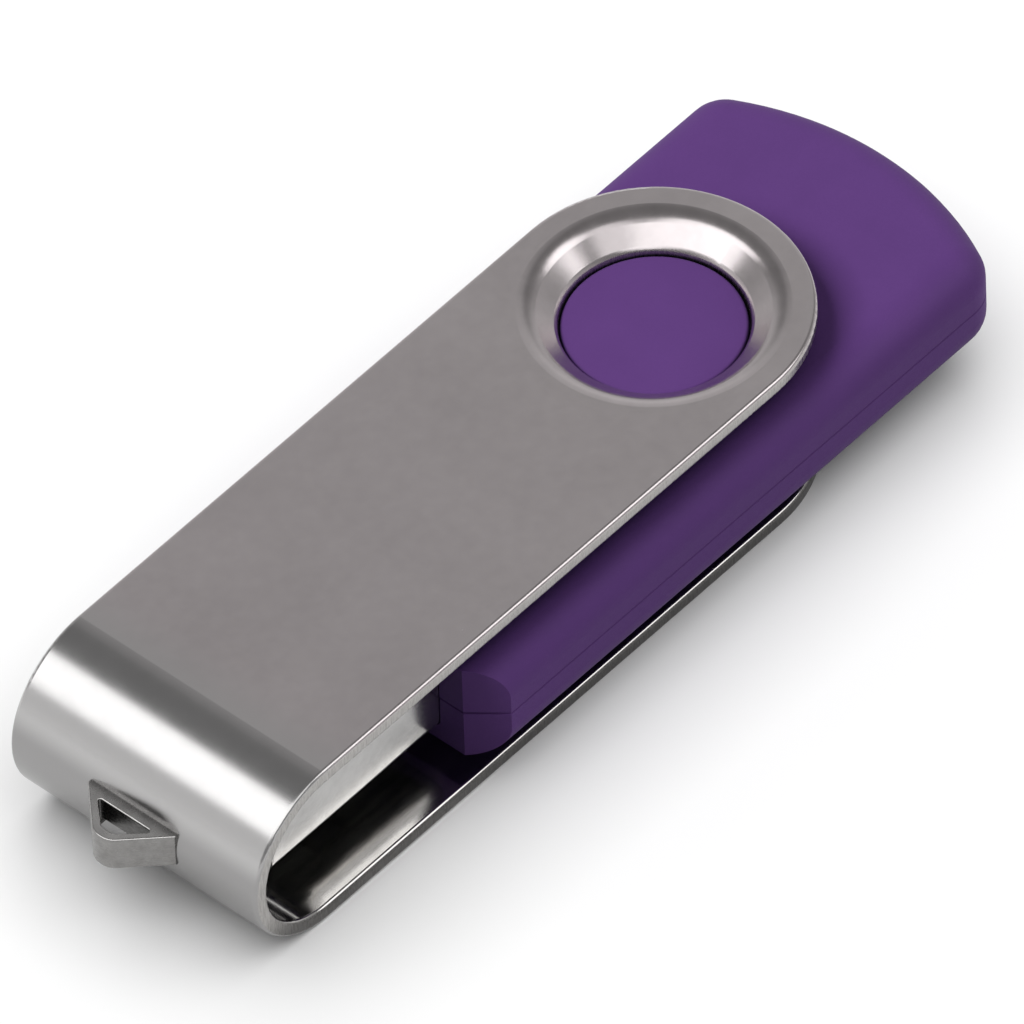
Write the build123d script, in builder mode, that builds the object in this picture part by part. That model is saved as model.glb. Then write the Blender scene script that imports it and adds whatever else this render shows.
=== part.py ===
from build123d import *
import os
from math import cos, radians, sin

# USB flash drive: a plastic body with a USB-A plug turns inside a folded sheet-metal clip.
# Millimetres, +Z up. X runs along the closed drive, the fold of the clip at -X and the free
# end of the body at +X. The origin is the middle of the bottom of the closed drive.

# ------------------------------------------------------------------ driving dimensions
# Clip
clip_width = 16.5
clip_height = 10.7
sheet = 0.9
pivot_x = 12.21               # the swivel axis, parallel to Z
fold_to_pivot = 34.34         # centre of the round fold to the swivel axis
fold_r = clip_height / 2
edge_round = 0.25             # deburred edge of the sheet

# Dish pressed inwards round each hole
hole_r = 4.86
dish_drop = 1.555             # plate face to the end of the rounded edge in the hole
dish_shoulder_r = 1.6         # convex radius where the dish leaves the plate
dish_slope = 39.0             # slope of its conical wall, degrees
dish_edge_r = 0.6             # rounded edge where the wall turns down into the hole

# Lanyard eye
eye_half = 2.9
eye_reach = 2.41              # from the fold to the tip
eye_strip = 0.67
eye_z0, eye_z1 = 4.55, 6.69
eye_bar_z = 5.29              # underside of the bar welded to the fold
eye_round = 0.1

# Plastic body
body_half = 9.5
body_z0, body_z1 = 2.2, 8.5
body_round = 2.05             # long edges and free end, top and bottom
body_front = pivot_x - 23.4
body_end_r = 17.9
body_end_x = pivot_x + 17.68
body_corner_r = 2.3
front_cut_x, front_cut_y = 1.52, 1.87
seam_z = (body_z0 + body_z1) / 2
seam_break = 0.07             # broken edge of each shell along the seam
wall = 1.2
floor_z, roof_z = 3.3, 7.4
space_round = 0.8
lip_thick, lip_height = 0.6, 0.8
boss_r = 4.79
boss_top = 9.22
boss_bottom = clip_height - boss_top
boss_round = 0.2
boss_core_r = 3.6
recess_r, recess_depth = 6.2, 0.4   # sunk ring that clears the dish
peg_r = 0.6
socket_r = 1.0
socket_z = 6.25

# USB-A plug
plug_width = 12.0
plug_height = 4.5
plug_wall = 0.3
plug_z = clip_height / 2
plug_tip = pivot_x - 36.0
plug_back = pivot_x - 19.2
tail_length = 2.4
contact_width = 1.0
contact_y = {"vbus": -3.5, "data_minus": -1.0, "data_plus": 1.0, "ground": 3.5}

# Circuit board
board_x0 = pivot_x - 18.9
board_x1 = pivot_x + 14.0
board_half = 7.0
board_z0, board_z1 = 4.3, 5.1
pad = 0.05

# Chips
flash_x = pivot_x + 3.7
flash_length, flash_width, flash_span = 18.4, 12.0, 20.0
control_x = pivot_x - 11.7
control_size, control_span = 7.0, 9.0
lead_pitch = 0.5
lead_width = 0.22
lead_thick = 0.14
chip_stand = 0.1

fold_x = pivot_x - fold_to_pivot
top = clip_height
os.makedirs("parts", exist_ok=True)

# ------------------------------------------------------------------ the clip
# Section of the dish: the shoulder is centred once and drawn at the two faces of the sheet.
s, c = sin(radians(dish_slope)), cos(radians(dish_slope))
cone_drop = dish_drop - dish_shoulder_r * (1 - c) - dish_edge_r * c
rim_r = hole_r + dish_edge_r * (1 - s) + cone_drop * c / s + dish_shoulder_r * s
shoulder_c = (rim_r, top - dish_shoulder_r)
edge_c = (hole_r + dish_edge_r, top - dish_drop)


def on_arc(centre, radius, degrees):
    return (centre[0] + radius * sin(radians(degrees)), centre[1] + radius * cos(radians(degrees)))


with BuildPart() as swivel_clip:
    with BuildSketch(Plane.XZ):
        with BuildLine():
            Line((pivot_x + clip_width, 0), (fold_x, 0))
            ThreePointArc((fold_x, 0), (fold_x - fold_r, fold_r), (fold_x, top))
            Line((fold_x, top), (pivot_x + clip_width, top))
            Line((pivot_x + clip_width, top), (pivot_x + clip_width, top - sheet))
            Line((pivot_x + clip_width, top - sheet), (fold_x, top - sheet))
            ThreePointArc((fold_x, top - sheet), (fold_x - fold_r + sheet, fold_r), (fold_x, sheet))
            Line((fold_x, sheet), (pivot_x + clip_width, sheet))
            Line((pivot_x + clip_width, sheet), (pivot_x + clip_width, 0))
        make_face()
    extrude(amount=clip_width / 2, both=True)
    # Both plates end in a half circle about the swivel axis.
    with BuildSketch():
        with BuildLine():
            Line((fold_x - fold_r - 1, -clip_width / 2), (pivot_x, -clip_width / 2))
            ThreePointArc((pivot_x, -clip_width / 2), (pivot_x + clip_width / 2, 0), (pivot_x, clip_width / 2))
            Line((pivot_x, clip_width / 2), (fold_x - fold_r - 1, clip_width / 2))
            Line((fold_x - fold_r - 1, clip_width / 2), (fold_x - fold_r - 1, -clip_width / 2))
        make_face()
    extrude(amount=top, mode=Mode.INTERSECT)
    # The deburred outline, outside and inside the U.
    outline = [
        e
        for e in swivel_clip.edges()
        if all(
            abs(abs(p.Y) - clip_width / 2) < 1e-3
            if p.X < pivot_x + 1e-3
            else abs((p - Vector(pivot_x, 0, p.Z)).length - clip_width / 2) < 1e-3
            for p in (e @ 0, e @ 0.5, e @ 1)
        )
        and abs((e % 0.5).Z) < 0.99
    ]
    fillet(outline, edge_round)
    # The dishes replace a disc of each plate.
    with BuildSketch():
        with Locations((pivot_x, 0)):
            Circle(rim_r)
    extrude(amount=top, mode=Mode.SUBTRACT)
    with BuildSketch(Plane((pivot_x, 0, 0), x_dir=(1, 0, 0), z_dir=(0, -1, 0))) as dish:
        with BuildLine():
            ThreePointArc(
                on_arc(shoulder_c, dish_shoulder_r, 0),
                on_arc(shoulder_c, dish_shoulder_r, -dish_slope / 2),
                on_arc(shoulder_c, dish_shoulder_r, -dish_slope),
            )
            Line(on_arc(shoulder_c, dish_shoulder_r, -dish_slope), on_arc(edge_c, dish_edge_r, -dish_slope))
            ThreePointArc(
                on_arc(edge_c, dish_edge_r, -dish_slope),
                on_arc(edge_c, dish_edge_r, -(dish_slope + 90) / 2),
                (hole_r, top - dish_drop),
            )
            # The underside of the cone runs straight to the hole.
            under = on_arc(shoulder_c, dish_shoulder_r - sheet, -dish_slope)
            hole_under = (hole_r, under[1] - (under[0] - hole_r) * s / c)
            Line((hole_r, top - dish_drop), hole_under)
            Line(hole_under, under)
            ThreePointArc(
                under,
                on_arc(shoulder_c, dish_shoulder_r - sheet, -dish_slope / 2),
                on_arc(shoulder_c, dish_shoulder_r - sheet, 0),
            )
            Line(on_arc(shoulder_c, dish_shoulder_r - sheet, 0), on_arc(shoulder_c, dish_shoulder_r, 0))
        make_face()
        mirror(about=Plane((0, top / 2, 0), x_dir=(1, 0, 0), z_dir=(0, 1, 0)))
    revolve(axis=Axis((pivot_x, 0, 0), (0, 0, 1)), revolution_arc=360)
swivel_clip.part.label = "swivel_clip"
export_step(swivel_clip.part, "parts/swivel_clip.step")

# A strip bent into a closed triangle and welded to the fold.
eye_back = fold_x - fold_r
eye_tip = eye_back - eye_reach
with BuildPart() as lanyard_loop:
    with BuildSketch(Plane.XY.offset(eye_z0)) as eye:
        with BuildLine():
            Polyline(
                (eye_back + 0.45, -eye_half),
                (eye_back - 0.05, -eye_half),
                (eye_tip, -0.5),
                (eye_tip, 0.5),
                (eye_back - 0.05, eye_half),
                (eye_back + 0.45, eye_half),
                close=True,
            )
        make_face()
        fillet(eye.vertices().group_by(Axis.X)[0], 1.0)
        fillet(eye.vertices().sort_by(Axis.Y)[0:1] + eye.vertices().sort_by(Axis.Y)[-1:], 0.05)
    extrude(amount=eye_z1 - eye_z0)
    with BuildSketch(Plane.XY.offset(eye_z0)) as eye_hole:
        with BuildLine():
            Polyline(
                (eye_back - 0.49, -1.87),
                (eye_tip + eye_strip - 0.11, -0.38),
                (eye_tip + eye_strip - 0.11, 0.38),
                (eye_back - 0.49, 1.87),
                close=True,
            )
        make_face()
        fillet(eye_hole.vertices().group_by(Axis.X)[0], 0.4)
        fillet(eye_hole.vertices().group_by(Axis.X)[-1], 0.12)
    extrude(amount=eye_z1 - eye_z0, mode=Mode.SUBTRACT)
    rims = lanyard_loop.faces().filter_by(Axis.Z).edges()
    fillet([e for e in rims if e.center().X < eye_back - 0.01], eye_round)
    # Its back bar is less tall than its arms.
    with BuildSketch(Plane.XY.offset(eye_z0)):
        with BuildLine():
            Polyline(
                (eye_back - 0.55, -1.8), (eye_back + 1, -1.8), (eye_back + 1, 1.8), (eye_back - 0.55, 1.8), close=True
            )
        make_face()
    extrude(amount=eye_bar_z - eye_z0, mode=Mode.SUBTRACT)
    # Its base is ground to the curve of the fold.
    with BuildSketch(Plane.XZ):
        with Locations((fold_x, fold_r)):
            Circle(fold_r)
    extrude(amount=eye_half + 1, both=True, mode=Mode.SUBTRACT)
lanyard_loop.part.label = "lanyard_loop"
export_step(lanyard_loop.part, "parts/lanyard_loop.step")

# ------------------------------------------------------------------ the plastic body
end_c = body_end_x - body_end_r
end_x = end_c + (body_end_r**2 - body_half**2) ** 0.5

# Outside form of the closed body, cut into two shells at the seam. The long edges and the
# free end are rounded; the front is flat with a plain cut across each corner.
with BuildPart() as body_form:
    with BuildSketch(Plane.XY.offset(body_z0)) as body_outline:
        with BuildLine():
            Polyline((end_x, -body_half), (body_front, -body_half), (body_front, body_half), (end_x, body_half))
            ThreePointArc((end_x, body_half), (body_end_x, 0), (end_x, -body_half))
        make_face()
        fillet([v for v in body_outline.vertices() if v.X > pivot_x], body_corner_r)
    extrude(amount=body_z1 - body_z0)
    for level in (0, -1):
        rim = body_form.faces().filter_by(Axis.Z).sort_by(Axis.Z)[level].edges()
        fillet([e for e in rim if e.center().X > body_front + 0.01], body_round)
    with BuildSketch(Plane.XY.offset(body_z0 - 1)) as corner_cuts:
        for side in (-1, 1):
            with BuildLine():
                Polyline(
                    (body_front - 1, side * (body_half - front_cut_y - front_cut_y / front_cut_x)),
                    (body_front + front_cut_x + 1, side * (body_half + front_cut_y / front_cut_x)),
                    (body_front - 1, side * (body_half + front_cut_y / front_cut_x)),
                    close=True,
                )
            make_face()
    extrude(amount=body_z1 - body_z0 + 2, mode=Mode.SUBTRACT)
    with BuildSketch(Plane.XY.offset(body_z1 - recess_depth)):
        with Locations((pivot_x, 0)):
            Circle(recess_r)
    extrude(amount=recess_depth, mode=Mode.SUBTRACT)
    with BuildSketch(Plane.XY.offset(body_z0)):
        with Locations((pivot_x, 0)):
            Circle(recess_r)
    extrude(amount=recess_depth, mode=Mode.SUBTRACT)

# The space inside it.
with BuildPart() as body_space:
    with BuildSketch(Plane.XY.offset(floor_z)) as space_outline:
        with BuildLine():
            Polyline(
                (end_x, -body_half),
                (body_front + front_cut_x, -body_half),
                (body_front, -body_half + front_cut_y),
                (body_front, body_half - front_cut_y),
                (body_front + front_cut_x, body_half),
                (end_x, body_half),
            )
            ThreePointArc((end_x, body_half), (body_end_x, 0), (end_x, -body_half))
        make_face()
        fillet([v for v in space_outline.vertices() if v.X > pivot_x], body_corner_r)
        shell_outline = space_outline.sketch
        offset(amount=-wall, mode=Mode.REPLACE)
    extrude(amount=roof_z - floor_z)
    for level in (0, -1):
        fillet(body_space.faces().filter_by(Axis.Z).sort_by(Axis.Z)[level].edges(), space_round)

peg_spots = [
    (pivot_x - 20.5, -7.1),
    (pivot_x - 20.5, 7.1),
    (pivot_x + 14.9, -4.6),
    (pivot_x + 14.9, 4.6),
]

with BuildPart() as upper_shell:
    add(body_form.part)
    with BuildSketch(Plane.XY.offset(seam_z)):
        Rectangle(90, 40)
    extrude(amount=-10, mode=Mode.SUBTRACT)
    chamfer(upper_shell.faces().sort_by(Axis.Z)[0].edges(), seam_break)
    add(body_space.part, mode=Mode.SUBTRACT)
    # Sockets for the pegs of the lower shell.
    with BuildSketch(Plane.XY.offset(socket_z)):
        with Locations(*peg_spots):
            Circle(socket_r)
    extrude(amount=roof_z + 0.2 - socket_z)
    with BuildSketch(Plane.XY.offset(socket_z)):
        with Locations(*peg_spots):
            Circle(peg_r + 0.04)
    extrude(amount=1.0, mode=Mode.SUBTRACT)
    # Ribs that hold the board down.
    with BuildSketch(Plane.XY.offset(board_z1)):
        with Locations(
            (board_x0 + 1.6, -6.65), (board_x0 + 1.6, 6.65), (pivot_x + 10, -6.65), (pivot_x + 10, 6.65)
        ):
            Rectangle(2.0, 0.4)
    extrude(amount=roof_z + 0.2 - board_z1)
    # The mouth for the plug.
    with BuildSketch(Plane.YZ.offset(body_front - 1)):
        with Locations((0, plug_z)):
            RectangleRounded(plug_width + 0.08, plug_height + 0.08, 0.62)
    extrude(amount=plug_back + 0.4 - body_front + 1, mode=Mode.SUBTRACT)
    # The pivot boss, cored out from inside.
    with BuildSketch(Plane.XY.offset(roof_z + 0.3)):
        with Locations((pivot_x, 0)):
            Circle(boss_r)
    extrude(amount=boss_top - roof_z - 0.3)
    fillet(upper_shell.faces().sort_by(Axis.Z)[-1].edges(), boss_round)
    with BuildSketch(Plane.XY.offset(roof_z - 0.1)):
        with Locations((pivot_x, 0)):
            Circle(boss_core_r)
    extrude(amount=boss_top - 1.1 - roof_z + 0.1, mode=Mode.SUBTRACT)
upper_shell.part.label = "upper_shell"
export_step(upper_shell.part, "parts/upper_shell.step")

with BuildPart() as lower_shell:
    add(body_form.part)
    with BuildSketch(Plane.XY.offset(seam_z)):
        Rectangle(90, 40)
    extrude(amount=10, mode=Mode.SUBTRACT)
    chamfer(lower_shell.faces().sort_by(Axis.Z)[-1].edges(), seam_break)
    add(body_space.part, mode=Mode.SUBTRACT)
    # The lip that stands inside the upper shell's wall.
    with BuildSketch(Plane.XY.offset(seam_z - 0.6)):
        offset(shell_outline, amount=-(wall - 0.3))
        offset(shell_outline, amount=-(wall + 0.05 + lip_thick), mode=Mode.SUBTRACT)
    extrude(amount=0.6)
    with BuildSketch(Plane.XY.offset(seam_z)):
        offset(shell_outline, amount=-(wall + 0.05))
        offset(shell_outline, amount=-(wall + 0.05 + lip_thick), mode=Mode.SUBTRACT)
    extrude(amount=lip_height)
    # The mouth for the plug, with the lip cut away.
    with BuildSketch(Plane.XY.offset(seam_z - 0.7)):
        with Locations((body_front + wall + 2.5, 0)):
            Rectangle(5, plug_width + 0.3)
    extrude(amount=2, mode=Mode.SUBTRACT)
    with BuildSketch(Plane.YZ.offset(body_front - 1)):
        with Locations((0, plug_z)):
            RectangleRounded(plug_width + 0.08, plug_height + 0.08, 0.62)
    extrude(amount=plug_back + 0.4 - body_front + 1, mode=Mode.SUBTRACT)
    # Pegs, and rails under the board.
    with BuildSketch(Plane.XY.offset(floor_z - 0.2)):
        with Locations(*peg_spots):
            Circle(peg_r)
    extrude(amount=socket_z + 0.9 - floor_z + 0.2)
    with BuildSketch(Plane.XY.offset(floor_z - 0.2)):
        with Locations((pivot_x - 2.6, -5.9), (pivot_x - 2.6, 5.9)):
            Rectangle(27.2, 0.8)
    extrude(amount=board_z0 - floor_z + 0.2)
    # The lower pivot boss.
    with BuildSketch(Plane.XY.offset(body_z0 + 0.6)):
        with Locations((pivot_x, 0)):
            Circle(boss_r)
    extrude(amount=-(body_z0 + 0.6 - boss_bottom))
    fillet(lower_shell.faces().sort_by(Axis.Z)[0].edges(), boss_round)
    with BuildSketch(Plane.XY.offset(boss_bottom + 1.1)):
        with Locations((pivot_x, 0)):
            Circle(boss_core_r)
    extrude(amount=floor_z + 0.1 - boss_bottom - 1.1, mode=Mode.SUBTRACT)
lower_shell.part.label = "lower_shell"
export_step(lower_shell.part, "parts/lower_shell.step")

# ------------------------------------------------------------------ the plug
tab_x1 = plug_back + tail_length
tab_y = plug_width / 2 - plug_wall / 2
with BuildPart() as connector_shell:
    with BuildSketch(Plane.YZ.offset(plug_tip)):
        with Locations((0, plug_z)):
            RectangleRounded(plug_width, plug_height, 0.6)
            RectangleRounded(plug_width - 2 * plug_wall, plug_height - 2 * plug_wall, 0.3, mode=Mode.SUBTRACT)
    extrude(amount=plug_back - plug_tip)
    fillet(connector_shell.faces().sort_by(Axis.X)[0].edges(), 0.1)
    # Latch windows through the top and bottom.
    with BuildSketch(Plane.XY.offset(plug_z - plug_height)):
        with Locations((plug_tip + 6.3, -3.0), (plug_tip + 6.3, 3.0)):
            Rectangle(2.3, 2.4)
    extrude(amount=2 * plug_height, mode=Mode.SUBTRACT)
    # The closing seam of the rolled sheet, along the underside.
    with BuildSketch(Plane.YZ.offset(plug_tip)):
        with Locations((0, plug_z - plug_height / 2)):
            Rectangle(0.12, 0.2)
    extrude(amount=plug_back - plug_tip, mode=Mode.SUBTRACT)
    # Tails that drop into the board's slots.
    with BuildSketch(Plane.YZ.offset(plug_back - 0.5)):
        with Locations((-tab_y, board_z0 + 0.6), (tab_y, board_z0 + 0.6)):
            Rectangle(plug_wall, 1.7)
    extrude(amount=tab_x1 - plug_back + 0.5)
connector_shell.part.label = "connector_shell"
export_step(connector_shell.part, "parts/connector_shell.step")

inner_y = plug_width / 2 - plug_wall - 0.02
inner_z0 = plug_z - plug_height / 2 + plug_wall + 0.02
inner_z1 = plug_z + plug_height / 2 - plug_wall - 0.02
contact_z0 = board_z1 + pad
contact_z1 = contact_z0 + 0.28
with BuildPart() as connector_insulator:
    with BuildSketch(Plane.XZ):
        with BuildLine():
            Polyline(
                (plug_tip + 0.4, inner_z0),
                (plug_back, inner_z0),
                (plug_back, inner_z1),
                (plug_tip + 12.2, inner_z1),
                (plug_tip + 12.2, contact_z1 - 0.06),
                (plug_tip + 0.4, contact_z1 - 0.06),
                close=True,
            )
        make_face()
    extrude(amount=inner_y, both=True)
    rails = connector_insulator.edges().filter_by(Axis.X).group_by(Axis.Z)
    fillet(rails[0] + rails[-1], 0.32)
    chamfer(connector_insulator.faces().sort_by(Axis.X)[0].edges().filter_by(Axis.Y).sort_by(Axis.Z)[-1], 0.25)
    with BuildSketch(Plane.YZ.offset(plug_tip)):
        with Locations(*[(y, (contact_z0 + contact_z1) / 2) for y in contact_y.values()]):
            Rectangle(contact_width + 0.04, contact_z1 - contact_z0 + 0.04)
    extrude(amount=plug_back - plug_tip + 0.5, mode=Mode.SUBTRACT)
connector_insulator.part.label = "connector_insulator"
export_step(connector_insulator.part, "parts/connector_insulator.step")

# Contacts: power and ground reach further forward than the data pair.
with BuildPart() as contact_vbus:
    with BuildSketch(Plane.YZ.offset(plug_tip + 2.1)):
        with Locations((contact_y["vbus"], (contact_z0 + contact_z1) / 2)):
            Rectangle(contact_width, contact_z1 - contact_z0)
    extrude(amount=board_x0 + 1.6 - plug_tip - 2.1)
    chamfer(contact_vbus.faces().sort_by(Axis.X)[0].edges().sort_by(Axis.Z)[-1], 0.18)
contact_vbus.part.label = "contact_vbus"
export_step(contact_vbus.part, "parts/contact_vbus.step")

with BuildPart() as contact_data_minus:
    with BuildSketch(Plane.YZ.offset(plug_tip + 3.1)):
        with Locations((contact_y["data_minus"], (contact_z0 + contact_z1) / 2)):
            Rectangle(contact_width, contact_z1 - contact_z0)
    extrude(amount=board_x0 + 1.6 - plug_tip - 3.1)
    chamfer(contact_data_minus.faces().sort_by(Axis.X)[0].edges().sort_by(Axis.Z)[-1], 0.18)
contact_data_minus.part.label = "contact_data_minus"
export_step(contact_data_minus.part, "parts/contact_data_minus.step")

with BuildPart() as contact_data_plus:
    with BuildSketch(Plane.YZ.offset(plug_tip + 3.1)):
        with Locations((contact_y["data_plus"], (contact_z0 + contact_z1) / 2)):
            Rectangle(contact_width, contact_z1 - contact_z0)
    extrude(amount=board_x0 + 1.6 - plug_tip - 3.1)
    chamfer(contact_data_plus.faces().sort_by(Axis.X)[0].edges().sort_by(Axis.Z)[-1], 0.18)
contact_data_plus.part.label = "contact_data_plus"
export_step(contact_data_plus.part, "parts/contact_data_plus.step")

with BuildPart() as contact_ground:
    with BuildSketch(Plane.YZ.offset(plug_tip + 2.1)):
        with Locations((contact_y["ground"], (contact_z0 + contact_z1) / 2)):
            Rectangle(contact_width, contact_z1 - contact_z0)
    extrude(amount=board_x0 + 1.6 - plug_tip - 2.1)
    chamfer(contact_ground.faces().sort_by(Axis.X)[0].edges().sort_by(Axis.Z)[-1], 0.18)
contact_ground.part.label = "contact_ground"
export_step(contact_ground.part, "parts/contact_ground.step")

# ------------------------------------------------------------------ the board
tail_slot_x = (board_x0 + tab_x1 + 0.15) / 2
with BuildPart() as circuit_board:
    with BuildSketch(Plane.XY.offset(board_z0)) as board:
        with Locations(((board_x0 + board_x1) / 2, 0)):
            RectangleRounded(board_x1 - board_x0, 2 * board_half, 0.5)
        with Locations((tail_slot_x, -tab_y), (tail_slot_x, tab_y)):
            Rectangle(tab_x1 + 0.15 - board_x0 + 0.02, plug_wall + 0.2, mode=Mode.SUBTRACT)
        with Locations((pivot_x - 7.3, 6.2), (board_x0 + 0.8, 0)):
            Circle(0.3, mode=Mode.SUBTRACT)
    extrude(amount=board_z1 - board_z0)
circuit_board.part.label = "circuit_board"
export_step(circuit_board.part, "parts/circuit_board.step")

# Chip parts as (x, y, turn in degrees), each 1.6 long and 0.8 wide.
capacitor_spots = [
    (pivot_x - 14.4, -5.85, 0),
    (pivot_x - 12.15, -5.85, 0),
    (pivot_x - 9.9, -5.85, 0),
    (pivot_x - 7.65, -5.85, 0),
]
resistor_spots = [
    (pivot_x - 11.6, 5.85, 0),
    (pivot_x - 9.35, 5.85, 0),
]
crystal = (pivot_x - 14.1, 5.85)
chip_length, chip_width, cap_height, res_height, end_length = 1.6, 0.8, 0.8, 0.45, 0.3

with BuildPart() as board_pads:
    with BuildSketch(Plane.XY.offset(board_z1)):
        with Locations(*[(board_x0 + 1.3, y) for y in contact_y.values()]):
            Rectangle(2.2, 1.3)
        for x, y, turn in capacitor_spots + resistor_spots:
            with Locations(Location((x, y, 0), (0, 0, turn))):
                with Locations((-0.75, 0), (0.75, 0)):
                    Rectangle(0.6, 0.9)
        with Locations(crystal):
            with GridLocations(1.7, 1.3, 2, 2):
                Rectangle(0.75, 0.65)
    extrude(amount=pad)
board_pads.part.label = "board_pads"
export_step(board_pads.part, "parts/board_pads.step")

with BuildPart() as capacitor_bodies:
    with BuildSketch(Plane.XY.offset(board_z1 + pad)):
        for x, y, turn in capacitor_spots:
            with Locations(Location((x, y, 0), (0, 0, turn))):
                Rectangle(chip_length - 2 * end_length, chip_width - 0.06)
    extrude(amount=cap_height - 0.04)
capacitor_bodies.part.label = "capacitor_bodies"
export_step(capacitor_bodies.part, "parts/capacitor_bodies.step")

with BuildPart() as capacitor_terminals:
    with BuildSketch(Plane.XY.offset(board_z1 + pad)):
        for x, y, turn in capacitor_spots:
            with Locations(Location((x, y, 0), (0, 0, turn))):
                with Locations((-(chip_length - end_length) / 2, 0), ((chip_length - end_length) / 2, 0)):
                    Rectangle(end_length, chip_width)
    extrude(amount=cap_height)
    fillet(capacitor_terminals.faces().filter_by(Axis.Z).group_by(Axis.Z)[-1].edges(), 0.06)
capacitor_terminals.part.label = "capacitor_terminals"
export_step(capacitor_terminals.part, "parts/capacitor_terminals.step")

with BuildPart() as resistor_bodies:
    with BuildSketch(Plane.XY.offset(board_z1 + pad)):
        for x, y, turn in resistor_spots:
            with Locations(Location((x, y, 0), (0, 0, turn))):
                Rectangle(chip_length - 2 * end_length, chip_width - 0.06)
    extrude(amount=res_height - 0.03)
resistor_bodies.part.label = "resistor_bodies"
export_step(resistor_bodies.part, "parts/resistor_bodies.step")

with BuildPart() as resistor_terminals:
    with BuildSketch(Plane.XY.offset(board_z1 + pad)):
        for x, y, turn in resistor_spots:
            with Locations(Location((x, y, 0), (0, 0, turn))):
                with Locations((-(chip_length - end_length) / 2, 0), ((chip_length - end_length) / 2, 0)):
                    Rectangle(end_length, chip_width)
    extrude(amount=res_height)
    fillet(resistor_terminals.faces().filter_by(Axis.Z).group_by(Axis.Z)[-1].edges(), 0.05)
resistor_terminals.part.label = "resistor_terminals"
export_step(resistor_terminals.part, "parts/resistor_terminals.step")

with BuildPart() as crystal_base:
    with BuildSketch(Plane.XY.offset(board_z1 + pad)):
        with Locations(crystal):
            RectangleRounded(2.5, 2.0, 0.15)
    extrude(amount=0.35)
crystal_base.part.label = "crystal_base"
export_step(crystal_base.part, "parts/crystal_base.step")

with BuildPart() as crystal_lid:
    with BuildSketch(Plane.XY.offset(board_z1 + pad + 0.35)):
        with Locations(crystal):
            RectangleRounded(2.2, 1.7, 0.25)
    extrude(amount=0.25)
    fillet(crystal_lid.faces().sort_by(Axis.Z)[-1].edges(), 0.1)
crystal_lid.part.label = "crystal_lid"
export_step(crystal_lid.part, "parts/crystal_lid.step")

# ------------------------------------------------------------------ the two chips
chip_z0 = board_z1 + chip_stand
with BuildPart() as flash_package:
    with BuildSketch(Plane.XY.offset(chip_z0)):
        with Locations((flash_x, 0)):
            Rectangle(flash_length, flash_width)
    extrude(amount=1.0)
    chamfer(flash_package.faces().sort_by(Axis.Z)[-1].edges(), 0.12)
    # The index dimple at pin 1.
    with BuildSketch(Plane.XY.offset(chip_z0 + 1.0)):
        with Locations((flash_x - flash_length / 2 + 1.4, -flash_width / 2 + 1.4)):
            Circle(0.5)
    extrude(amount=-0.08, mode=Mode.SUBTRACT)
flash_package.part.label = "flash_package"
export_step(flash_package.part, "parts/flash_package.step")

with BuildPart() as controller_package:
    with BuildSketch(Plane.XY.offset(chip_z0)):
        with Locations((control_x, 0)):
            Rectangle(control_size, control_size)
    extrude(amount=1.4)
    chamfer(controller_package.faces().sort_by(Axis.Z)[-1].edges(), 0.15)
    with BuildSketch(Plane.XY.offset(chip_z0 + 1.4)):
        with Locations((control_x - control_size / 2 + 1.1, -control_size / 2 + 1.1)):
            Circle(0.4)
    extrude(amount=-0.08, mode=Mode.SUBTRACT)
controller_package.part.label = "controller_package"
export_step(controller_package.part, "parts/controller_package.step")


def gull_wing(inner, outer, z_exit, side):
    """Side profile of a formed lead from the package wall to its foot on the board."""
    foot = 0.5
    z0, t = board_z1, lead_thick
    knee = (inner + outer - foot) / 2
    return [
        (side * inner, z_exit),
        (side * knee, z_exit),
        (side * (outer - foot), z0 + t),
        (side * outer, z0 + t),
        (side * outer, z0),
        (side * (outer - foot - 0.1), z0),
        (side * (knee - 0.1), z_exit - t),
        (side * inner, z_exit - t),
    ]


flash_rows = [(k - 11.5) * lead_pitch for k in range(24)]
with BuildPart() as flash_leads:
    with BuildSketch(*[Plane((flash_x, y, 0), x_dir=(1, 0, 0), z_dir=(0, -1, 0)) for y in flash_rows]):
        for side in (-1, 1):
            with BuildLine():
                Polyline(*gull_wing(flash_length / 2, flash_span / 2, chip_z0 + 0.57, side), close=True)
            make_face()
    extrude(amount=lead_width / 2, both=True)
flash_leads.part.label = "flash_leads"
export_step(flash_leads.part, "parts/flash_leads.step")

control_rows = [(k - 5.5) * lead_pitch for k in range(12)]
with BuildPart() as controller_leads:
    with BuildSketch(*[Plane((control_x, y, 0), x_dir=(1, 0, 0), z_dir=(0, -1, 0)) for y in control_rows]):
        for side in (-1, 1):
            with BuildLine():
                Polyline(*gull_wing(control_size / 2, control_span / 2, chip_z0 + 0.77, side), close=True)
            make_face()
    extrude(amount=lead_width / 2, both=True)
    with BuildSketch(*[Plane((control_x + x, 0, 0), x_dir=(0, 1, 0), z_dir=(1, 0, 0)) for x in control_rows]):
        for side in (-1, 1):
            with BuildLine():
                Polyline(*gull_wing(control_size / 2, control_span / 2, chip_z0 + 0.77, side), close=True)
            make_face()
    extrude(amount=lead_width / 2, both=True)
controller_leads.part.label = "controller_leads"
export_step(controller_leads.part, "parts/controller_leads.step")

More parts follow.
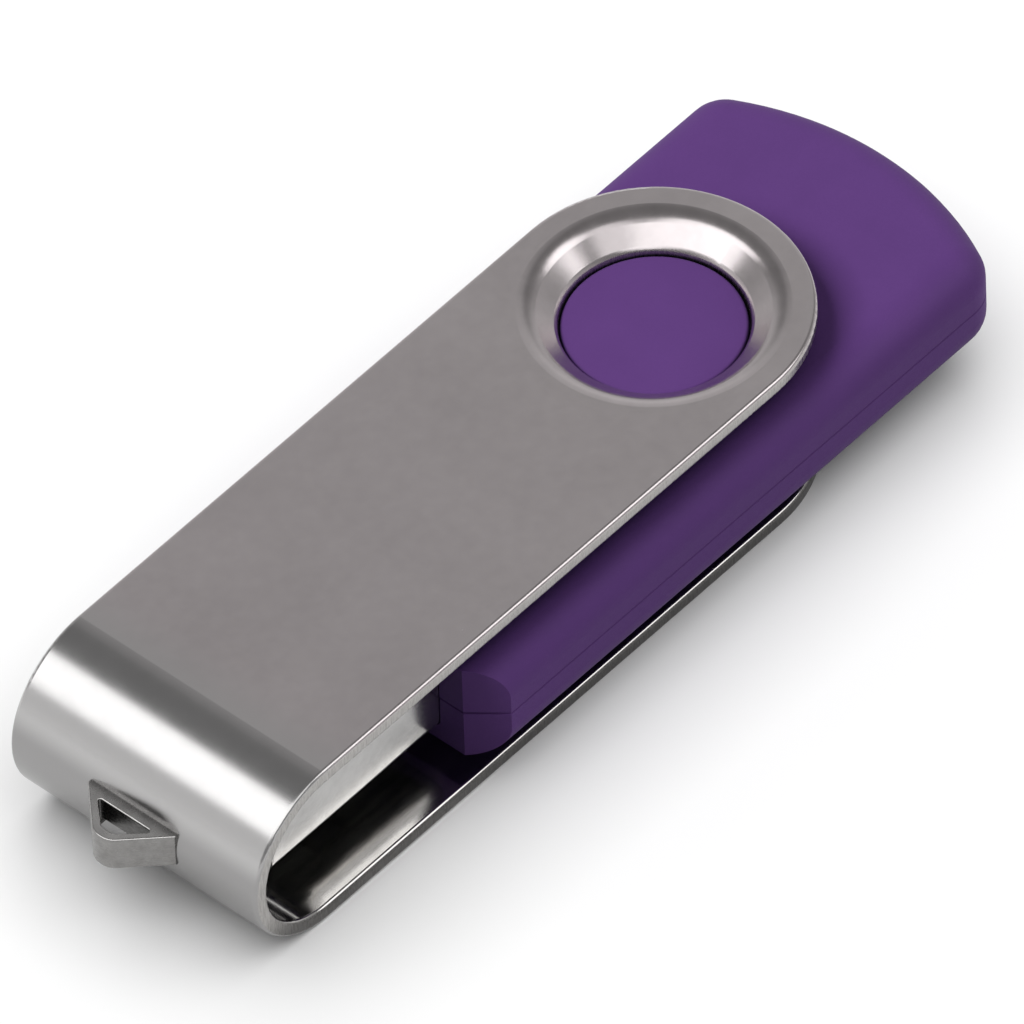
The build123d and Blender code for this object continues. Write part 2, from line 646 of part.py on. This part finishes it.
# ------------------------------------------------------------------ solder
foot_end = board_x0 + 1.6
with BuildPart() as contact_solder:
    with BuildSketch(*[Plane((0, y, 0), x_dir=(1, 0, 0), z_dir=(0, -1, 0)) for y in contact_y.values()]):
        with BuildLine():
            Line((foot_end, contact_z0), (foot_end, contact_z1 - 0.04))
            ThreePointArc(
                (foot_end, contact_z1 - 0.04), (foot_end + 0.2, contact_z0 + 0.09), (foot_end + 0.65, contact_z0 + 0.02)
            )
            Line((foot_end + 0.65, contact_z0 + 0.02), (foot_end + 0.65, contact_z0))
            Line((foot_end + 0.65, contact_z0), (foot_end, contact_z0))
        make_face()
    extrude(amount=0.5, both=True)
contact_solder.part.label = "contact_solder"
export_step(contact_solder.part, "parts/contact_solder.step")

solder_x = board_x0 + 2.0
with BuildPart() as shell_solder:
    with BuildSketch(Plane.XY.offset(board_z1)):
        with Locations((solder_x, -tab_y), (solder_x, tab_y)):
            RectangleRounded(2.2, 1.0, 0.4)
    extrude(amount=0.55, taper=28)
    with BuildSketch(Plane.XY.offset(board_z1)):
        with Locations((tab_x1 - 2.0, -tab_y), (tab_x1 - 2.0, tab_y)):
            Rectangle(4.0, plug_wall)
    extrude(amount=0.7, mode=Mode.SUBTRACT)
shell_solder.part.label = "shell_solder"
export_step(shell_solder.part, "parts/shell_solder.step")
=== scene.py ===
import bpy, math
from mathutils import Vector, Matrix

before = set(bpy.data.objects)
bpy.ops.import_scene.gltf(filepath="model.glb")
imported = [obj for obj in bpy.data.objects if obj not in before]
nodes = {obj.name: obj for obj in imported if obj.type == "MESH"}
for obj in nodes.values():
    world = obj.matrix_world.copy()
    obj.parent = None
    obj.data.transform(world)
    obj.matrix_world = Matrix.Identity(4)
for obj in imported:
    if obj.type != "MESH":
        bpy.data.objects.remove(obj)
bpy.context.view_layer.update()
PX = 0.01221                      # the swivel axis
FOLD_X = PX - 0.03434             # centre of the clip's fold
MID = 0.00535                     # half the clip's height
HALF = 0.00825                    # half the clip's width
SHEET = 0.0009
scene = bpy.context.scene

# ------------------------------------------------------------------ camera
back = Vector((-0.4966, -0.4569, 0.7380)).normalized()
turn = math.radians(-47.38)
right0 = Vector((math.cos(turn), math.sin(turn), 0))
up0 = back.cross(right0).normalized()
roll = math.radians(1.98)
R = (math.cos(roll) * right0 - math.sin(roll) * up0).normalized()
U = (math.cos(roll) * up0 + math.sin(roll) * right0).normalized()
D = 1.860 * 0.892
focal_px = 17.634 * 1.860 * 1000
fwd = (-back * focal_px - R * 146.86 - U * 63.91).normalized()
R1 = (R - fwd * R.dot(fwd)).normalized()
U1 = R1.cross(fwd).normalized()
cam_data = bpy.data.cameras.new("camera")
cam_data.sensor_width = 36
cam_data.lens = focal_px * 36 / 1024
cam_data.clip_start, cam_data.clip_end = 0.05, 20
cam = bpy.data.objects.new("camera", cam_data)
scene.collection.objects.link(cam)
m = Matrix.Identity(4)
for i in range(3):
    m[i][0], m[i][1], m[i][2] = R1[i], U1[i], -fwd[i]
    m[i][3] = (Vector((PX, 0, 0)) + back * D)[i]
cam.matrix_world = m
scene.camera = cam
scene.view_settings.view_transform = "Standard"


# ------------------------------------------------------------------ material helpers
class Mat:
    """A node material, built in object coordinates in millimetres."""

    def __init__(self, name):
        self.m = bpy.data.materials.new(name)
        self.m.use_nodes = True
        self.t = self.m.node_tree
        self.b = self.t.nodes["Principled BSDF"]
        tc = self.t.nodes.new("ShaderNodeTexCoord")
        mm = self.t.nodes.new("ShaderNodeVectorMath")
        mm.operation = "SCALE"
        mm.inputs[3].default_value = 1000.0
        self.t.links.new(tc.outputs["Object"], mm.inputs[0])
        self.p = mm.outputs[0]

    def link(self, a, b):
        self.t.links.new(a, b)
        return self

    def set(self, **k):
        for key, v in k.items():
            self.b.inputs[key.replace("_", " ")].default_value = (*v, 1) if isinstance(v, tuple) and len(v) == 3 else v
        return self

    def math(self, op, a, b=None, c=None, clamp=False):
        n = self.t.nodes.new("ShaderNodeMath")
        n.operation = op
        n.use_clamp = clamp
        for i, v in enumerate((a, b, c)):
            if v is None:
                continue
            if isinstance(v, (int, float)):
                n.inputs[i].default_value = v
            else:
                self.link(v, n.inputs[i])
        return n.outputs[0]

    def vec(self, op, a, b=None, out=0):
        n = self.t.nodes.new("ShaderNodeVectorMath")
        n.operation = op
        for i, v in enumerate((a, b)):
            if v is None:
                continue
            if isinstance(v, (tuple, list)):
                n.inputs[i].default_value = v
            elif isinstance(v, (int, float)):
                n.inputs[3].default_value = v
            else:
                self.link(v, n.inputs[i])
        return n.outputs[out]

    def split(self, v):
        n = self.t.nodes.new("ShaderNodeSeparateXYZ")
        self.link(v, n.inputs[0])
        return n.outputs

    def join(self, x, y, z):
        n = self.t.nodes.new("ShaderNodeCombineXYZ")
        for i, v in enumerate((x, y, z)):
            if isinstance(v, (int, float)):
                n.inputs[i].default_value = v
            else:
                self.link(v, n.inputs[i])
        return n.outputs[0]

    def noise(self, scale, detail=3.0, rough=0.5, coord=None, stretch=None, dist=0.0):
        v = coord or self.p
        if stretch:
            v = self.vec("MULTIPLY", v, stretch)
        n = self.t.nodes.new("ShaderNodeTexNoise")
        n.inputs["Scale"].default_value = scale
        n.inputs["Detail"].default_value = detail
        n.inputs["Roughness"].default_value = rough
        n.inputs["Distortion"].default_value = dist
        self.link(v, n.inputs["Vector"])
        return n.outputs[0]

    def voronoi(self, scale, coord=None, feature="F1"):
        n = self.t.nodes.new("ShaderNodeTexVoronoi")
        n.feature = feature
        n.inputs["Scale"].default_value = scale
        self.link(coord or self.p, n.inputs["Vector"])
        return n.outputs[0]

    def fit(self, v, a, b, c, d, smooth=False):
        n = self.t.nodes.new("ShaderNodeMapRange")
        n.interpolation_type = "SMOOTHSTEP" if smooth else "LINEAR"
        n.clamp = True
        self.link(v, n.inputs[0])
        for i, x in enumerate((a, b, c, d)):
            n.inputs[i + 1].default_value = x
        return n.outputs[0]

    def mix(self, f, a, b):
        """Colours or numbers mixed by f."""
        n = self.t.nodes.new("ShaderNodeMix")
        n.data_type = "RGBA"
        self.link(f, n.inputs[0])
        for i, v in ((6, a), (7, b)):
            if isinstance(v, tuple):
                n.inputs[i].default_value = (*v, 1)
            else:
                self.link(v, n.inputs[i])
        return n.outputs[2]

    def lerp(self, f, a, b):
        n = self.t.nodes.new("ShaderNodeMix")
        n.data_type = "FLOAT"
        self.link(f, n.inputs[0])
        for i, v in ((2, a), (3, b)):
            if isinstance(v, (int, float)):
                n.inputs[i].default_value = v
            else:
                self.link(v, n.inputs[i])
        return n.outputs[0]

    def bump(self, height, depth_mm, strength=1.0, normal=None):
        n = self.t.nodes.new("ShaderNodeBump")
        n.inputs["Strength"].default_value = strength
        n.inputs["Distance"].default_value = depth_mm / 1000.0
        self.link(height, n.inputs["Height"])
        if normal is not None:
            self.link(normal, n.inputs["Normal"])
        return n.outputs[0]

    def out(self, color=None, rough=None, normal=None, metal=None):
        if color is not None:
            self.link(color, self.b.inputs["Base Color"])
        if rough is not None:
            self.link(rough, self.b.inputs["Roughness"])
        if normal is not None:
            self.link(normal, self.b.inputs["Normal"])
        if metal is not None:
            self.link(metal, self.b.inputs["Metallic"])
        return self.m


# ------------------------------------------------------------------ the clip's steel
def clip_steel():
    """Satin outside, polished inside, sheared edges with a bright broken corner."""
    k = Mat("clip_steel")
    k.set(Metallic=1.0)
    x, y, z = k.split(k.p)[:3]
    dx = k.math("MINIMUM", k.math("SUBTRACT", x, FOLD_X * 1000), 0.0)
    dz = k.math("SUBTRACT", z, MID * 1000)
    radial = k.vec("NORMALIZE", k.join(dx, 0.0, dz))
    geo = k.t.nodes.new("ShaderNodeNewGeometry")
    tr = k.t.nodes.new("ShaderNodeVectorTransform")
    tr.vector_type = "NORMAL"
    tr.convert_from, tr.convert_to = "WORLD", "OBJECT"
    k.link(geo.outputs["Normal"], tr.inputs[0])
    facing = k.vec("DOT_PRODUCT", k.vec("NORMALIZE", tr.outputs[0]), radial, out=1)
    outer = k.fit(facing, 0.25, 0.6, 0, 1, True)
    inner = k.fit(facing, -0.55, -0.92, 0, 1, True)
    # Broad mottling, fine blasted grain and faint scuffs.
    broad = k.noise(0.16, 2.0, 0.5)
    cloud = k.noise(1.1, 4.0, 0.6)
    grain = k.noise(16.0, 3.0, 0.65)
    scuff = k.noise(2.2, 4.0, 0.6, stretch=(0.35, 3.0, 3.0), dist=0.6)
    scuff = k.fit(scuff, 0.60, 0.72, 0, 1)
    tone = k.math("ADD", k.math("MULTIPLY", broad, 0.5), k.math("MULTIPLY", cloud, 0.5))
    sat = k.mix(k.fit(tone, 0.35, 0.65, 0, 1), (0.525, 0.484, 0.490), (0.592, 0.547, 0.553))
    # Sheared edge: fine marks across the sheet.
    shear = k.noise(9.0, 3.0, 0.6, stretch=(1.0, 1.0, 0.12))
    edge = k.mix(k.fit(shear, 0.35, 0.65, 0, 1), (0.34, 0.330, 0.318), (0.43, 0.418, 0.405))
    side = k.math("SUBTRACT", 1.0, k.math("ADD", outer, inner), clamp=True)
    bend = k.fit(x, FOLD_X * 1000 - 2.0, FOLD_X * 1000 + 3.0, 1, 0, True)
    sat = k.mix(bend, sat, (0.532, 0.524, 0.522))
    # Painted shade: the satin steel is darkened where it faces downward, on the lower half of the fold and the lower
    # plate.
    nz = k.split(k.vec("NORMALIZE", tr.outputs[0]))[2]
    painted_underside_shade = k.fit(nz, 0.18, 0.52, 0.60, 1.0, True)
    sat = k.mix(painted_underside_shade, (0.0, 0.0, 0.0), sat)
    # Painted shade: the sheared edge is darkened towards the bottom, from 4 mm down to 1 mm height.
    painted_low_edge_shade = k.fit(z, 1.0, 4.0, 0.32, 1.0, True)
    edge = k.mix(painted_low_edge_shade, (0.0, 0.0, 0.0), edge)
    col = k.mix(inner, sat, (0.62, 0.605, 0.59))
    col = k.mix(side, col, edge)
    r_out = k.math("ADD", k.fit(cloud, 0.3, 0.7, 0.215, 0.245), k.math("MULTIPLY", scuff, 0.03))
    r_in = k.fit(k.noise(0.8, 3.0, 0.6, stretch=(0.3, 2.0, 2.0)), 0.35, 0.65, 0.11, 0.18)
    rough = k.lerp(inner, r_out, r_in)
    rough = k.lerp(side, rough, k.fit(shear, 0.3, 0.7, 0.22, 0.34))
    height = k.math("ADD", k.math("MULTIPLY", grain, k.lerp(inner, 1.0, 0.12)), k.math("MULTIPLY", k.math("MULTIPLY", shear, side), 0.25))
    n1 = k.bump(height, 0.004, 0.16)
    n2 = k.bump(k.noise(0.5, 2.0, 0.5), 0.02, 0.10, n1)
    return k.out(col, rough, n2)


def loop_steel():
    """The welded eye: tumbled, a little darker, with drawn lines along the strip; painted shade darkens its upright
    walls and its recesses.
    """
    k = Mat("loop_steel")
    k.set(Metallic=1.0)
    cloud = k.noise(1.6, 4.0, 0.6)
    drawn = k.noise(7.0, 3.0, 0.6, stretch=(0.25, 0.25, 2.5))
    # Painted shade: the upright walls of the strip get a darker copy of the steel than its top and bottom.
    shaded_wall_tone = k.mix(k.fit(cloud, 0.3, 0.7, 0, 1), (0.215, 0.210, 0.205), (0.275, 0.270, 0.264))
    lit_rim_tone = k.mix(k.fit(cloud, 0.3, 0.7, 0, 1), (0.44, 0.43, 0.425), (0.54, 0.53, 0.52))
    geo = k.t.nodes.new("ShaderNodeNewGeometry")
    tr = k.t.nodes.new("ShaderNodeVectorTransform")
    tr.vector_type = "NORMAL"
    tr.convert_from, tr.convert_to = "WORLD", "OBJECT"
    k.link(geo.outputs["Normal"], tr.inputs[0])
    nz = k.math("ABSOLUTE", k.split(k.vec("NORMALIZE", tr.outputs[0]))[2])
    col = k.mix(k.fit(nz, 0.3, 0.8, 0, 1, True), shaded_wall_tone, lit_rim_tone)
    # Painted shade: the steel is darkened towards black where nearby geometry occludes it.
    ao = k.t.nodes.new("ShaderNodeAmbientOcclusion")
    ao.samples = 6
    ao.inputs["Distance"].default_value = 0.003
    col = k.mix(k.fit(ao.outputs["AO"], 0.20, 0.60, 0.30, 1.0), (0.0, 0.0, 0.0), col)
    rough = k.fit(drawn, 0.3, 0.7, 0.22, 0.32)
    return k.out(col, rough, k.bump(k.math("ADD", drawn, k.math("MULTIPLY", k.noise(18.0, 2.0), 0.6)), 0.004, 0.35))


def soft_purple():
    """Soft-touch moulded plastic: fine spark-eroded texture, slight cloudiness, rubbed high spots."""
    k = Mat("soft_purple")
    k.set(Metallic=0.0)
    k.b.inputs["IOR"].default_value = 1.45
    k.b.inputs["Specular IOR Level"].default_value = 0.05
    k.b.inputs["Sheen Weight"].default_value = 0.04
    k.b.inputs["Sheen Roughness"].default_value = 0.5
    k.b.inputs["Sheen Tint"].default_value = (0.6, 0.45, 0.8, 1)
    cloud = k.noise(0.35, 4.0, 0.55)
    fine = k.noise(9.0, 3.0, 0.6)
    pits = k.voronoi(7.5)
    col = k.mix(k.fit(cloud, 0.3, 0.7, 0, 1), (0.064, 0.0262, 0.114), (0.069, 0.0282, 0.122))
    col2 = k.mix(k.fit(fine, 0.35, 0.65, 0.0, 0.35), col, (0.058, 0.0235, 0.104))
    rough = k.fit(k.math("ADD", k.math("MULTIPLY", cloud, 0.5), k.math("MULTIPLY", fine, 0.5)), 0.35, 0.65, 0.52, 0.64)
    height = k.math("ADD", k.math("MULTIPLY", fine, 0.7), k.math("MULTIPLY", pits, 0.4))
    # Painted shade: the plastic is darkened towards near-black purple where nearby geometry occludes it, such as inside
    # the clip and at the front of the body.
    ao = k.t.nodes.new("ShaderNodeAmbientOcclusion")
    ao.samples = 6
    ao.inputs["Distance"].default_value = 0.02
    painted_purple_shade = k.mix(k.fit(ao.outputs["AO"], 0.15, 0.52, 0, 1), (0.012, 0.006, 0.030), col2)
    return k.out(painted_purple_shade, rough, k.bump(height, 0.010, 0.45))


def plug_nickel():
    """Nickel plate over rolled sheet: glossy, with a fine frosted grain along the plug."""
    k = Mat("plug_nickel")
    k.set(Metallic=1.0)
    cloud = k.noise(0.9, 4.0, 0.6)
    frost = k.noise(6.0, 4.0, 0.7)
    drawn = k.noise(9.0, 2.0, 0.5, stretch=(0.08, 1.6, 1.6))
    col = k.mix(k.fit(cloud, 0.3, 0.7, 0, 1), (0.58, 0.575, 0.565), (0.69, 0.685, 0.675))
    rough = k.fit(frost, 0.35, 0.68, 0.12, 0.24)
    return k.out(col, rough, k.bump(k.math("ADD", k.math("MULTIPLY", frost, 0.8), k.math("MULTIPLY", drawn, 0.4)), 0.004, 0.5))


def plated(name, lo, hi, r0, r1, scale=3.0, depth=0.004):
    k = Mat(name)
    k.set(Metallic=1.0)
    cloud = k.noise(scale, 4.0, 0.6)
    fine = k.noise(scale * 7, 3.0, 0.6)
    col = k.mix(k.fit(cloud, 0.3, 0.7, 0, 1), lo, hi)
    return k.out(col, k.fit(fine, 0.3, 0.7, r0, r1), k.bump(fine, depth, 0.5))


def moulded(name, lo, hi, r0, r1, scale=2.0, depth=0.008, speck=None):
    k = Mat(name)
    k.set(Metallic=0.0)
    cloud = k.noise(scale, 4.0, 0.6)
    fine = k.noise(scale * 6, 3.0, 0.65)
    col = k.mix(k.fit(cloud, 0.3, 0.7, 0, 1), lo, hi)
    if speck:
        col = k.mix(k.fit(k.noise(scale * 9, 1.0), 0.62, 0.68, 0, 1), col, speck)
    return k.out(col, k.fit(fine, 0.3, 0.7, r0, r1), k.bump(fine, depth, 0.5))


def laminate():
    """Solder mask over glass cloth and tracks."""
    k = Mat("laminate")
    k.set(Metallic=0.0)
    x, y, z = k.split(k.p)[:3]
    weave = k.math("MULTIPLY", k.math("SINE", k.math("MULTIPLY", x, 18.0)), k.math("SINE", k.math("MULTIPLY", y, 18.0)))
    tracks = k.voronoi(0.55, coord=k.vec("MULTIPLY", k.p, (1.0, 2.2, 0.0)), feature="DISTANCE_TO_EDGE")
    t = k.fit(tracks, 0.03, 0.06, 1, 0)
    col = k.mix(t, (0.012, 0.085, 0.038), (0.030, 0.170, 0.075))
    col = k.mix(k.fit(weave, -1, 1, 0.0, 0.18), col, (0.02, 0.12, 0.05))
    h = k.math("ADD", k.math("MULTIPLY", t, 0.8), k.math("MULTIPLY", weave, 0.1))
    return k.out(col, k.fit(k.noise(5.0), 0.3, 0.7, 0.22, 0.34), k.bump(h, 0.02, 0.6))


steel = clip_steel()
loop = loop_steel()
purple = soft_purple()
nickel = plug_nickel()
gold = plated("gold_flash", (0.80, 0.56, 0.20), (0.92, 0.70, 0.30), 0.12, 0.24)
tin = plated("tinned", (0.60, 0.60, 0.58), (0.74, 0.74, 0.72), 0.22, 0.38)
solder = plated("solder", (0.58, 0.58, 0.57), (0.72, 0.72, 0.71), 0.14, 0.30, 1.5, 0.012)
lid = plated("crystal_metal", (0.66, 0.62, 0.52), (0.76, 0.72, 0.62), 0.18, 0.30)
black = moulded("insulator_black", (0.010, 0.010, 0.011), (0.020, 0.020, 0.021), 0.35, 0.50)
epoxy = moulded("package_epoxy", (0.014, 0.014, 0.015), (0.024, 0.024, 0.025), 0.45, 0.62, speck=(0.05, 0.05, 0.05))
cap = moulded("capacitor_body", (0.30, 0.19, 0.10), (0.40, 0.27, 0.16), 0.30, 0.45, 4.0, 0.004)
res = moulded("resistor_body", (0.012, 0.012, 0.014), (0.024, 0.024, 0.027), 0.16, 0.28, 4.0, 0.003)
cer = moulded("crystal_body", (0.22, 0.20, 0.18), (0.30, 0.28, 0.25), 0.35, 0.5, 3.0, 0.006)
board = laminate()

finish = {
    "swivel_clip": steel, "lanyard_loop": loop, "upper_shell": purple, "lower_shell": purple,
    "connector_shell": nickel, "connector_insulator": black,
    "contact_vbus": gold, "contact_data_minus": gold, "contact_data_plus": gold, "contact_ground": gold,
    "circuit_board": board, "board_pads": gold, "flash_package": epoxy, "flash_leads": tin,
    "controller_package": epoxy, "controller_leads": tin, "crystal_base": cer, "crystal_lid": lid,
    "capacitor_bodies": cap, "capacitor_terminals": tin, "resistor_bodies": res, "resistor_terminals": tin,
    "contact_solder": solder, "shell_solder": solder,
}
for name, o in nodes.items():
    o.data.materials.clear()
    o.data.materials.append(finish[name])

# ------------------------------------------------------------------ floor
me = bpy.data.meshes.new("floor")
me.from_pydata([(-4, -4, 0), (4, -4, 0), (4, 4, 0), (-4, 4, 0)], [], [(0, 1, 2, 3)])
floor = bpy.data.objects.new("floor", me)
scene.collection.objects.link(floor)
k = Mat("floor_paint")
k.set(Metallic=0.0, Roughness=0.9)
me.materials.append(k.out(k.mix(k.noise(0.02, 3.0), (0.86, 0.86, 0.86), (0.89, 0.89, 0.89))))


# ------------------------------------------------------------------ soft studio light
def area(name, loc, target, sx, sy, power, col=(1, 1, 1)):
    d = bpy.data.lights.new(name, "AREA")
    d.shape = "RECTANGLE"
    d.size, d.size_y = sx, sy
    d.energy = power
    d.color = col
    o = bpy.data.objects.new(name, d)
    scene.collection.objects.link(o)
    o.location = loc
    o.visible_camera = False
    o.rotation_euler = (Vector(target) - Vector(loc)).to_track_quat("-Z", "Y").to_euler()
    return o


def panel(name, x, y, height, radiance, only=None):
    """A level softbox above the drive, from its edges in metres and its brightness."""
    sx, sy = x[1] - x[0], y[1] - y[0]
    o = area(name, ((x[0] + x[1]) / 2, (y[0] + y[1]) / 2, height), ((x[0] + x[1]) / 2, (y[0] + y[1]) / 2, 0),
             sx, sy, radiance * math.pi * sx * sy)
    o.rotation_euler = (0, 0, 0)
    if only:
        o.light_linking.receiver_collection = only
    return o


def group(name, objects):
    c = bpy.data.collections.new(name)
    for o in objects:
        c.objects.link(o)
    return c


# Each softbox lights one family of surfaces, as a flagged studio set does.
shiny = ("swivel_clip", "lanyard_loop", "connector_shell")
metal = group("metal_pieces", [nodes[n] for n in shiny])
matte = group("other_pieces", [o for n, o in nodes.items() if n not in shiny])
ground = group("ground", [floor])
key = area("key", (-0.62, 0.36, 0.96), (0, 0, 0), 0.70, 0.70, 16.2 * math.pi * 0.49)
key.light_linking.receiver_collection = matte
flank = area("flank_softbox", (0.80, -0.74, 0.62), (0, 0, 0), 0.60, 0.60, 8.5 * math.pi * 0.36)
flank.light_linking.receiver_collection = matte
panel("floor_fill", (-1.5, 1.5), (-1.5, 1.5), 1.80, 2.0, only=ground)
panel("rear_softbox", (-1.60, -0.32), (0.14, 0.95), 0.90, 1.9, only=metal)
panel("near_softbox", (-1.45, -0.30), (-1.45, 0.14), 0.90, 1.8, only=metal)
panel("middle_softbox", (-0.30, 0.22), (-1.25, -0.35), 0.90, 1.1, only=metal)
side = area("side_softbox", (0.62, -0.56, 0.90), (0, 0, 0), 0.55, 0.55, 2.0 * math.pi * 0.3)
side.light_linking.receiver_collection = metal

world = bpy.data.worlds.new("world")
scene.world = world
world.use_nodes = True
wt = world.node_tree
bg = wt.nodes["Background"]
tc = wt.nodes.new("ShaderNodeTexCoord")


def wnode(kind, **k):
    n = wt.nodes.new(kind)
    for a, v in k.items():
        setattr(n, a, v)
    return n


def wrange(src, a, b, c, d):
    n = wnode("ShaderNodeMapRange", interpolation_type="SMOOTHSTEP")
    wt.links.new(src, n.inputs[0])
    for i, v in enumerate((a, b, c, d)):
        n.inputs[i + 1].default_value = v
    return n.outputs[0]


def wdot(v):
    n = wnode("ShaderNodeVectorMath", operation="DOT_PRODUCT")
    wt.links.new(tc.outputs["Generated"], n.inputs[0])
    n.inputs[1].default_value = Vector(v).normalized()
    return n.outputs[1]


def wmath(op, a, b):
    n = wnode("ShaderNodeMath", operation=op)
    for i, v in enumerate((a, b)):
        if isinstance(v, (int, float)):
            n.inputs[i].default_value = v
        else:
            wt.links.new(v, n.inputs[i])
    return n.outputs[0]


# Pale walls near the horizon, a darker ceiling, a dim card behind the drive, and the dark
# side of the room where the camera stands.
walls = wrange(wdot((0, 0, 1)), 0.05, 0.70, 0.62, 0.20)
card = wrange(wdot((0.66, 0.52, 0.56)), 0.90, 0.99, 0.0, 0.36)
low_card = wrange(wdot((-0.84, 0.45, 0.24)), 0.90, 0.985, 0.0, 0.30)
dark = wrange(wdot((-0.72, -0.66, 0.10)), 0.20, 0.85, 1.0, 0.45)
total = wmath("MULTIPLY", wmath("ADD", wmath("ADD", walls, card), low_card), dark)
wt.links.new(total, bg.inputs["Strength"])
bg.inputs["Color"].default_value = (1, 1, 1, 1)
